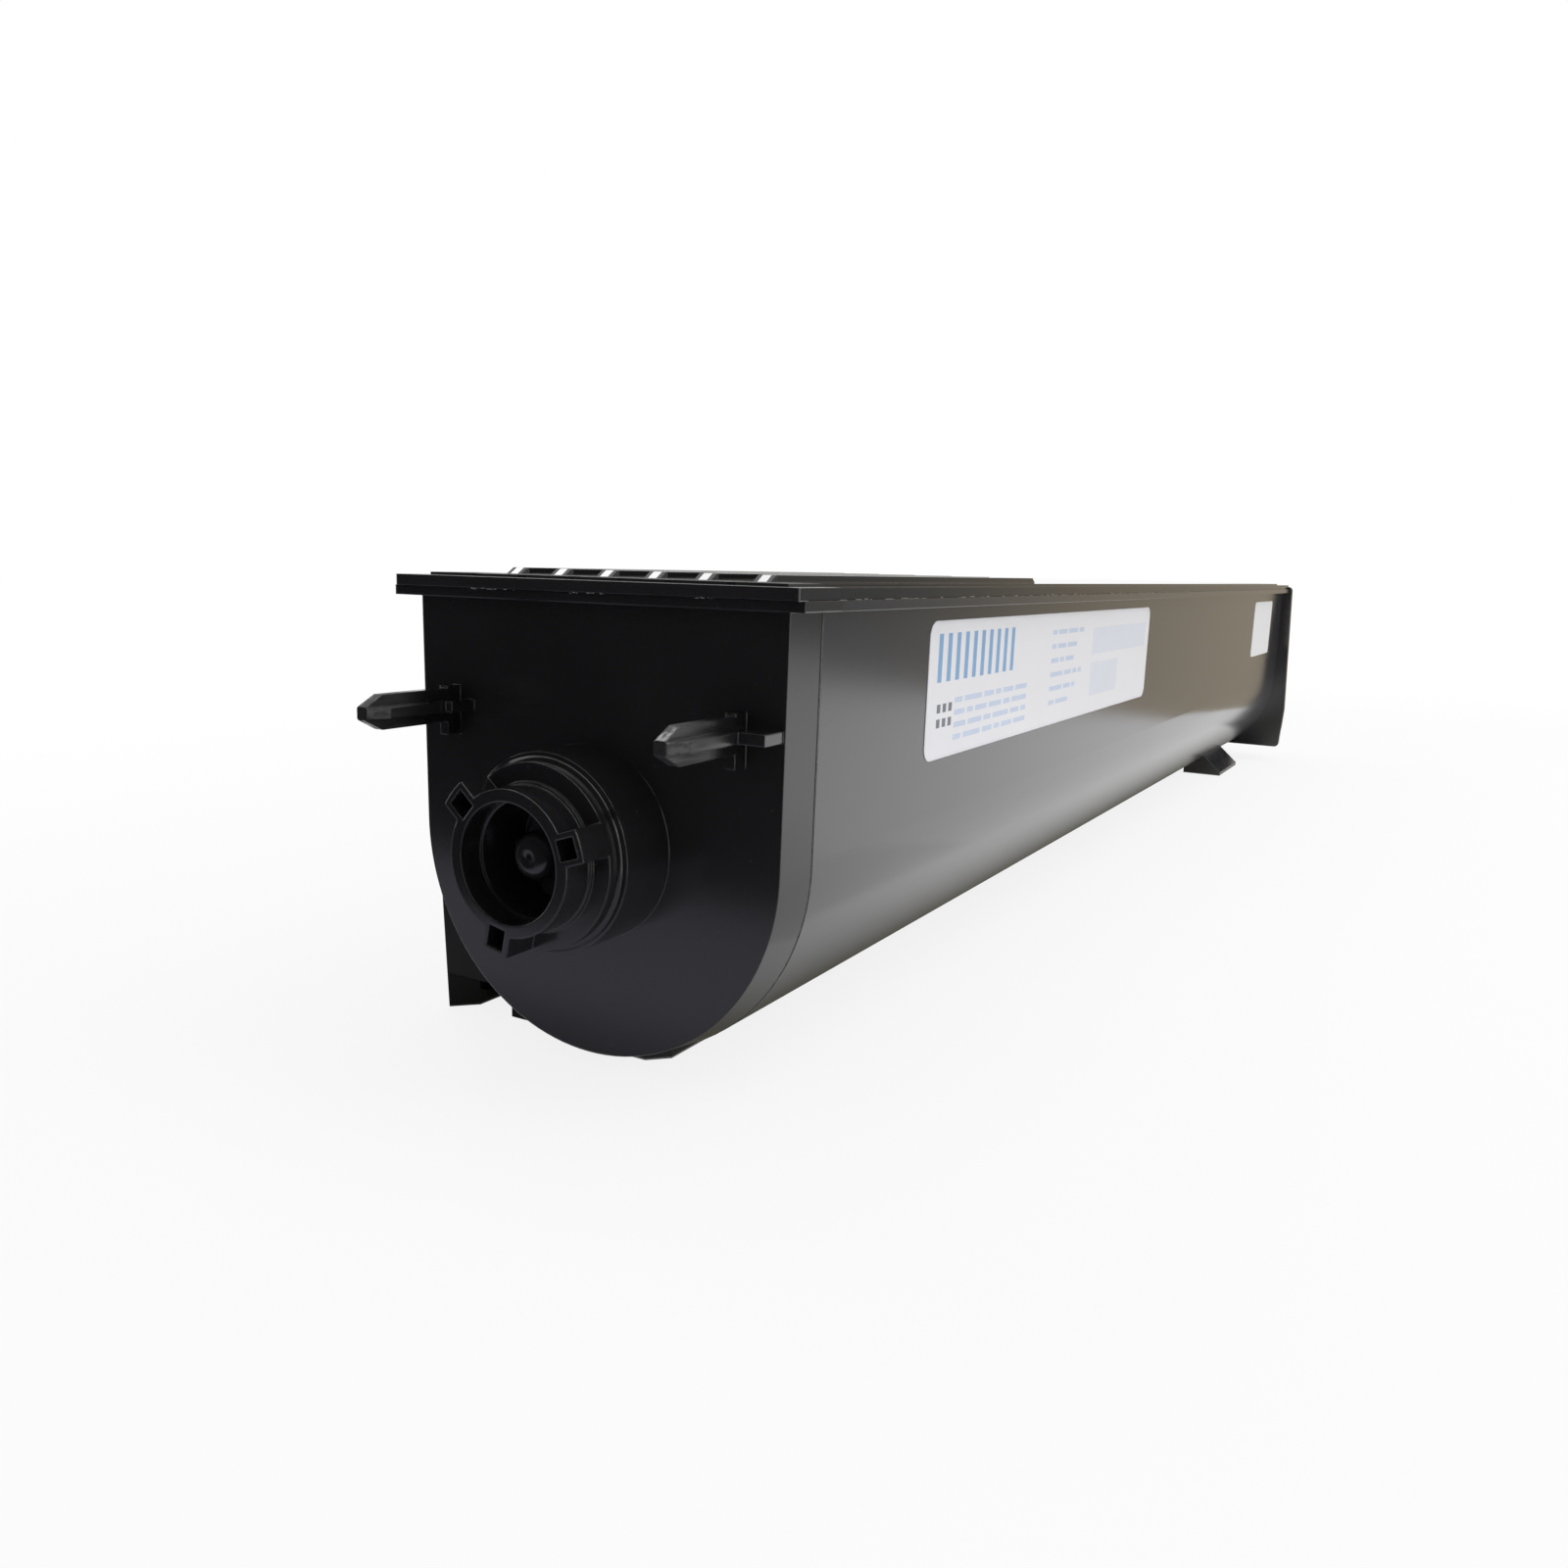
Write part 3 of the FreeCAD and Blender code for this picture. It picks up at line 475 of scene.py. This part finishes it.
def print_blocks(name, blocks, ink):
    """Flat rectangles of ink on the label. A block is its left edge, width, top edge and height
    in millimetres, from the label's front end and its top."""
    tree = Tree(name, {})
    size = tree.node("GeometryNodeInputNamedAttribute", {"data_type": "FLOAT_VECTOR"},
                     {"Name": "block_size"})
    block = tree.node("GeometryNodeMeshCube", {}, {"Size": (1.0, 1.0, 1.0)})
    spread = tree.node("GeometryNodeInstanceOnPoints", {}, {
        "Points": tree.inputs["Geometry"], "Instance": block.outputs[0],
        "Scale": size.outputs[0], "Rotation": (0.0, math.atan(SIDE_SLOPE), 0.0)})
    tree.close(spread.outputs[0], ink)
    face_x = label_high.x + PRINT_LIFT / 2
    centres = []
    sizes = []
    for left, width, top, height in blocks:
        drop = (top + height / 2) * MM
        centres.append((face_x - drop * SIDE_SLOPE,
                        label_low.y + (left + width / 2) * MM,
                        label_high.z - drop))
        sizes += [PRINT_LIFT, width * MM, height * MM]
    mesh = plain_mesh(name, centres, [], [])
    block_size = mesh.attributes.new("block_size", "FLOAT_VECTOR", "POINT")
    block_size.data.foreach_set("vector", sizes)
    rest_on(tree.grow(name, mesh, {}), HOPPER)


def word_lines(left, right, top, pitch, rows, seed):
    """Rows of bars in place of small print, with the gaps of words between them. Each row
    stops short of the right edge by its own amount."""
    lengths = (7.5, 4.0, 9.5, 5.5, 3.2, 6.4)
    shortest = 2.0
    height = 1.1
    gap = 1.4
    ragged_step = 2.3
    ragged_most = 9.0
    blocks = []
    turn = seed
    for row in range(rows):
        at = left
        end = right - (turn * ragged_step) % ragged_most
        while at < end - shortest:
            width = min(lengths[turn % len(lengths)], end - at)
            blocks.append((at, width, top + row * pitch, height))
            at += width + gap
            turn += 1
        turn += 2
    return blocks


heading_bars = 10
heading_left = 4.4
heading_top = 2.5
heading_width = 2.0
heading_height = 9.4
heading_pitch = 4.5
heading = [(heading_left + bar * heading_pitch, heading_width, heading_top, heading_height)
           for bar in range(heading_bars)]
print_blocks("label_heading", heading, printing_ink("heading_ink", (0.23, 0.41, 0.66)))

small_print = word_lines(left=14.0, right=62.0, top=15.4, pitch=2.5, rows=4, seed=1)
small_print += word_lines(left=74.0, right=100.0, top=4.0, pitch=3.4, rows=6, seed=4)
print_blocks("label_small_print", small_print,
             printing_ink("small_print_ink", (0.58, 0.66, 0.81)))

mark_rows = 2
mark_columns = 3
mark_left = 5.0
mark_top = 16.2
mark_size = 1.7
mark_pitch = 2.9
marks = [(mark_left + column * mark_pitch, mark_size, mark_top + row * mark_pitch, mark_size)
         for row in range(mark_rows) for column in range(mark_columns)]
print_blocks("label_marks", marks, printing_ink("mark_ink", (0.17, 0.18, 0.21)))

field_left = 108.0
wide_field = (field_left, 55.0, 4.4, 7.0)
short_field = (field_left, 26.0, 13.6, 8.8)
print_blocks("label_fields", [wide_field, short_field],
             printing_ink("field_ink", (0.73, 0.76, 0.84)))


# Weld flash along the joint under the lid, its pale beads partly painted highlights

BEAD_SCATTER = (0.0001, 0.0022, 0.0001)
BEAD_SMALLEST = (0.3, 1.2, 0.25)
BEAD_LARGEST = (0.8, 7.0, 0.6)
SIDE_BEADS = 150
SIDE_BEAD_RADIUS = 0.28 * MM
FRONT_BEADS = 9
FRONT_BEAD_RADIUS = SIDE_BEAD_RADIUS * 0.55
FRONT_RUNS_MM = ((-22.6, 2.6), (-17.6, 6.6), (3.0, 6.6), (24.9, 2.9))
JOINT_INSET = 0.05 * MM
FRONT_INSET = 0.35 * MM
FRONT_DROP = 0.1 * MM
LEFT_SEED = 4
RIGHT_SEED = 6
FRONT_SEED = 19


def weld_bead(name, start, end, count, radius, seed, flash_and_highlight):
    """Tiny uneven beads of squeezed-out plastic along a straight joint."""
    tree = Tree(name, {
        "Count": "NodeSocketInt", "Radius": "NodeSocketFloat", "Seed": "NodeSocketInt"})
    curve = tree.node("GeometryNodeMeshToCurve", {}, [tree.inputs["Geometry"]])
    points = tree.node("GeometryNodeResampleCurve", {"mode": "COUNT"}, {
        "Curve": curve.outputs[0], "Count": tree.inputs["Count"]})
    shift = tree.node("FunctionNodeRandomValue", {"data_type": "FLOAT_VECTOR"}, {
        "Min": tuple(-reach for reach in BEAD_SCATTER), "Max": BEAD_SCATTER,
        "Seed": tree.inputs["Seed"]})
    moved = tree.node("GeometryNodeSetPosition", {}, {
        "Geometry": points.outputs[0], "Offset": shift.outputs[0]})
    size = tree.node("FunctionNodeRandomValue", {"data_type": "FLOAT_VECTOR"}, {
        "Min": BEAD_SMALLEST, "Max": BEAD_LARGEST, "Seed": tree.inputs["Seed"]})
    ball = tree.node("GeometryNodeMeshIcoSphere", {}, {
        "Radius": tree.inputs["Radius"], "Subdivisions": 2})
    smooth = tree.node("GeometryNodeSetShadeSmooth", {}, [ball.outputs[0]])
    spread = tree.node("GeometryNodeInstanceOnPoints", {}, {
        "Points": moved.outputs[0], "Instance": smooth.outputs[0], "Scale": size.outputs[0]})
    tree.close(spread.outputs[0], flash_and_highlight)
    joint = plain_mesh(name, [start, end], [(0, 1)], [])
    piece = tree.grow(name, joint, {"Count": count, "Radius": radius, "Seed": seed})
    rest_on(piece, HOPPER)


joint_z = trough_high.z
joint_x = lid_high.x - JOINT_INSET
# Painted highlight: the side flash is made pale so that its beads read as glints along the joint.
side_flash_and_highlight = weld_flash("weld_flash", (0.09, 0.09, 0.092), (0.26, 0.26, 0.265), rough=0.22)
for side, x, seed in (("left", -joint_x, LEFT_SEED), ("right", joint_x, RIGHT_SEED)):
    weld_bead("lid_weld_" + side, Vector((x, lid_low.y, joint_z)),
              Vector((x, trough_high.y, joint_z)), SIDE_BEADS, SIDE_BEAD_RADIUS, seed, side_flash_and_highlight)

front_y = lid_low.y + FRONT_INSET
front_z = joint_z - FRONT_DROP
# Painted highlight: the front flash is made pale so that its beads read as glints on the lid's
# front edge.
front_flash = weld_flash("front_flash", (0.11, 0.11, 0.115), (0.20, 0.20, 0.205), rough=0.4)
for number, (middle_x, length) in enumerate(FRONT_RUNS_MM, start=1):
    middle = Vector((middle_x * MM, front_y, front_z))
    half_run = Vector((length / 2 * MM, 0.0, 0.0))
    weld_bead("front_weld_%d" % number, middle - half_run, middle + half_run,
              FRONT_BEADS, FRONT_BEAD_RADIUS, FRONT_SEED + number, front_flash)


# Painted shade: a black strip over the parting joint

SEAM_BEHIND_FACE = 8.3 * MM
SEAM_FRONT = 0.08 * MM
SEAM_BACK = 0.36 * MM
SEAM_LIFT = 0.03 * MM
SEAM_STEPS = 48


def seam_shade_strip(name, front, back):
    """Thin black strip round the body over the joint of the front cap, from flange to flange. It
    paints the shade in the joint's narrow gap.
    """
    radius = BOTTOM_RADIUS + SEAM_LIFT
    top_x = BOTTOM_RADIUS + SIDE_DRAFT + SEAM_LIFT
    outline = [(top_x, flange_z)]
    for step in range(SEAM_STEPS + 1):
        angle = -math.pi * step / SEAM_STEPS
        outline.append((radius * math.cos(angle), drive_axis_z + radius * math.sin(angle)))
    outline.append((-top_x, flange_z))
    points = [(x, y, z) for x, z in outline for y in (front, back)]
    faces = [(2 * i, 2 * i + 1, 2 * i + 3, 2 * i + 2) for i in range(len(outline) - 1)]
    mesh = plain_mesh(name, points, [], faces)
    mesh.materials.append(FINISHES["seal_foam"])
    rest_on(in_scene(name, mesh), HOPPER)


seam_y = drive_face_y + SEAM_BEHIND_FACE
# The strip paints the joint's shade darker and wider than its gap would cast.
seam_shade_strip("cap_seam_shade", front=seam_y - SEAM_FRONT, back=seam_y + SEAM_BACK)


# Dust ring before the white bush, and cap on the shaft's tip

LATHE_STEPS = 64


def lathe(name, profile, body):
    """Round black piece about the drive axis, from the (radius, y) points of its wall."""
    points = []
    faces = []
    rows = len(profile)
    for turn in range(LATHE_STEPS):
        angle = 2 * math.pi * turn / LATHE_STEPS
        for radius, y in profile:
            points.append((radius * math.cos(angle), y, drive_axis_z + radius * math.sin(angle)))
    for turn in range(LATHE_STEPS):
        this = turn * rows
        following = (turn + 1) % LATHE_STEPS * rows
        for row in range(rows):
            after = (row + 1) % rows
            faces.append((this + row, this + after, following + after, following + row))
    mesh = plain_mesh(name, points, [], faces)
    mesh.polygons.foreach_set("use_smooth", [True] * len(faces))
    mesh.materials.append(FINISHES["coupling_plastic"])
    rest_on(in_scene(name, mesh), body)


COLLAR_BEHIND_PRONGS = 10.5 * MM
RING_INNER = 12.65 * MM
RING_RIM = 0.45 * MM
RING_THICKNESS = 0.17 * MM
RING_GAP = 0.02 * MM
RING_BEFORE_BUSH = 0.05 * MM

ring_wall = bearing_high.x + RING_GAP
ring_outer = bearing_high.x + RING_RIM
ring_back = bearing_low.y - RING_BEFORE_BUSH
ring_front = ring_back - RING_THICKNESS
ring_foot = cap_low.y + COLLAR_BEHIND_PRONGS - RING_GAP
ring_profile = [
    (RING_INNER, ring_back),
    (ring_wall, ring_back),
    (ring_wall, ring_foot),
    (ring_outer, ring_foot),
    (ring_outer, ring_front),
    (RING_INNER, ring_front),
]
lathe("dust_ring", ring_profile, HOPPER)

NOSE_RADIUS = 4.15 * MM
NOSE_BORE = 4.02 * MM
NOSE_ROUND = 2.4 * MM
NOSE_LENGTH = 4.9 * MM
NOSE_OVER_TIP = 0.12 * MM
NOSE_POLE = 0.02 * MM
NOSE_SKIN = 0.05 * MM
NOSE_SHOULDER = 0.1 * MM
NOSE_STEPS = 8

nose_tip = shaft_low.y - NOSE_OVER_TIP
nose_back = nose_tip + NOSE_LENGTH
nose_profile = [(NOSE_BORE, nose_back), (NOSE_RADIUS, nose_back)]
for step in range(NOSE_STEPS + 1):
    angle = math.pi / 2 * step / NOSE_STEPS
    nose_profile.append((NOSE_RADIUS - NOSE_ROUND * (1 - math.cos(angle)),
                         nose_tip + NOSE_ROUND * (1 - math.sin(angle))))
nose_profile += [
    (NOSE_POLE, nose_tip),
    (NOSE_POLE, nose_tip + NOSE_SKIN),
    (NOSE_BORE, nose_tip + NOSE_ROUND + NOSE_SHOULDER),
]
lathe("drive_nose", nose_profile, ROTOR)


# Stage, lamps and camera

FLOOR_REACH = 6.0
FLOOR_WHITE = 0.85
FLOOR_PAPER = (0.82, 0.82, 0.82)
ROOM_LIGHT = 0.56


def stage_sheet(name, corners, material):
    mesh = plain_mesh(name, corners, [], [(0, 1, 2, 3)])
    mesh.materials.append(material)
    sheet = in_scene(name, mesh)
    return sheet


def upright(left, right, y, height):
    """Corners of a sheet that stands across the floor."""
    low = cad_low.z
    return [(left, y, low), (right, y, low), (right, y, low + height), (left, y, low + height)]


def lying(left, right, front, back, lift):
    """Corners of a sheet that lies on the floor or a little above it."""
    z = cad_low.z + lift
    return [(left, front, z), (right, front, z), (right, back, z), (left, back, z)]


def seen_rays(nodes):
    """1 for rays of the camera, of reflections and through glass, and 0 for the others."""
    path = nodes.node("ShaderNodeLightPath").outputs
    seen = Value(nodes, path["Is Camera Ray"]).larger(Value(nodes, path["Is Glossy Ray"]))
    return seen.larger(Value(nodes, path["Is Transmission Ray"]))


def floor_paint():
    """White paper that keeps most of its brightness where the cartridge shades it."""
    shade_starts = 60.0
    shade_ends = 500.0
    m = Recipe("floor_paint")
    away = abs(m.x).larger(abs(m.y) - cad_high.y / MM)
    whiteness = away.ramp(shade_starts, shade_ends, FLOOR_WHITE, 1.0)
    paint = m.node("ShaderNodeBsdfDiffuse", {}, {"Color": FLOOR_PAPER})
    white = m.node("ShaderNodeEmission", {}, {"Color": WHITE, "Strength": 1.0})
    return m.surface(m.node("ShaderNodeMixShader", {}, [
        seen_rays(m) * whiteness, paint.outputs[0], white.outputs[0]]))


def stage_card(name, corners, near_colour, far_colour, near_x=0.0, far_x=1.0,
               front_shade=0.0, reach=160.0, fade=1.0):
    """Card that only reflections see. Its colour changes along X, and it is shaded beside the
    drive face, as far as reach. Its two ends in X fade out. Reach and fade are in millimetres."""
    m = Recipe(name)
    colour = m.mix(m.x.ramp(near_x / MM, far_x / MM), near_colour, far_colour)
    if front_shade:
        away = abs(m.y - face_mm)
        colour = m.mix(away.ramp(0.0, reach, front_shade, 0.0), colour, BLACK)
    paint = m.node("ShaderNodeEmission", {}, {"Color": colour, "Strength": 1.0})
    clear = m.node("ShaderNodeBsdfTransparent")
    left = corners[0][0] / MM
    right = corners[1][0] / MM
    solid = m.x.ramp(left, left + fade) * m.x.ramp(right - fade, right, 1.0, 0.0)
    faded = m.node("ShaderNodeMixShader", {}, [solid, clear.outputs[0], paint.outputs[0]])
    card = stage_sheet(name, corners, m.surface(faded))
    card.visible_camera = False
    card.visible_diffuse = False
    card.visible_shadow = False


def area_lamp(name, place, target, width, depth, watts):
    lamp = bpy.data.lights.new(name, "AREA")
    lamp.shape = "RECTANGLE"
    lamp.size = width
    lamp.size_y = depth
    lamp.energy = watts
    holder = in_scene(name, lamp)
    holder.location = place
    holder.rotation_mode = "QUATERNION"
    aim = Vector(target) - Vector(place)
    holder.rotation_quaternion = aim.to_track_quat("-Z", "Y")


def studio_world():
    """White to the eye and in reflections, with an even light of its own."""
    world = bpy.data.worlds.new("studio")
    world.use_nodes = True
    nodes = Nodes(world.node_tree)
    room = nodes.node("ShaderNodeBackground", {}, {"Color": WHITE, "Strength": ROOM_LIGHT})
    white = nodes.node("ShaderNodeBackground", {}, {"Color": WHITE, "Strength": 1.0})
    both = nodes.node("ShaderNodeMixShader", {}, [
        seen_rays(nodes), room.outputs[0], white.outputs[0]])
    nodes.node("ShaderNodeOutputWorld", {}, {"Surface": both.outputs[0]})
    bpy.context.scene.world = world


def photo_camera():
    """The photograph's view, set by the drive face's middle at the height of the lid's rim."""
    camera = bpy.data.cameras.new("camera")
    camera.sensor_width = 36.0
    camera.lens = 28.284
    camera.shift_x = 0.00670
    camera.shift_y = -0.01323
    camera.clip_start = 0.01
    right = Vector((0.86184991, 0.50653401, 0.02525901))
    up = Vector((-0.10184637, 0.12406828, 0.98703312))
    ahead = Vector((-0.49683201, 0.85324695, -0.15851689))
    from_face = Vector((131.827, -163.696, 3.198)) * MM
    place = from_face + Vector((0.0, drive_face_y, rim_z))
    turn = Matrix((right, up, -ahead)).transposed().to_4x4()
    holder = in_scene("camera", camera)
    holder.matrix_world = Matrix.Translation(place) @ turn
    bpy.context.scene.camera = holder


stage_sheet("floor", lying(-FLOOR_REACH, FLOOR_REACH, -FLOOR_REACH, FLOOR_REACH, lift=0.0),
            floor_paint())

dark = (0.010, 0.010, 0.012)
shaded_front_floor = (0.27, 0.26, 0.31)
warm_wall = (0.435, 0.375, 0.285)
dim_wall = (0.21, 0.21, 0.20)
shaded_near_floor = (0.85, 0.85, 0.85)
far_floor = (0.95, 0.95, 0.95)
shadow_under_floor = (0.13, 0.125, 0.10)
front_edge = drive_face_y - 0.10
stage_card("dark_card", upright(left=-0.6, right=0.24, y=front_edge, height=0.8),
           dark, dark, fade=110.0)
# Painted shade: the floor before the drive face, dark as if in the cartridge's shadow and darkest
# by the face, seen only in reflections.
stage_card("front_card", lying(left=-0.6, right=0.12, front=front_edge,
                               back=drive_face_y - 0.002, lift=0.0006),
           shaded_front_floor, shaded_front_floor, front_shade=0.55, reach=34.0)
stage_card("room_card", upright(left=-0.03, right=2.5, y=drive_face_y + 0.605, height=1.2),
           warm_wall, dim_wall, near_x=0.15, far_x=0.34, fade=90.0)
# Painted shade: the floor beside the cartridge, dimmer near it and dimmest beside the drive face,
# seen only in reflections.
stage_card("near_card", lying(left=0.055, right=0.45, front=drive_face_y - 0.02,
                              back=drive_face_y + 0.16, lift=0.0003),
           shaded_near_floor, far_floor, near_x=0.055, far_x=0.45, front_shade=0.3)
# Painted shadow: dark floor under the cartridge, fading to white beside it, seen only in
# reflections.
stage_card("under_card", lying(left=-0.06, right=0.055, front=drive_face_y,
                               back=cad_high.y + 0.02, lift=0.0003),
           shadow_under_floor, WHITE, near_x=0.015, far_x=0.055, front_shade=0.32)

area_lamp("side_lamp", place=(0.75, 0.15, 0.75), target=(0.05, 0.05, 0.04),
          width=0.7, depth=1.1, watts=5.0)
area_lamp("top_lamp", place=(0.0, 0.2, 1.2), target=(0.0, 0.0, 0.05),
          width=1.0, depth=1.2, watts=3.0)
area_lamp("rib_lamp", place=(-0.60, 0.10, 0.83), target=(0.0, -0.20, 0.087),
          width=0.26, depth=0.26, watts=1.1)
studio_world()
photo_camera()
bpy.context.scene.view_settings.view_transform = "Standard"
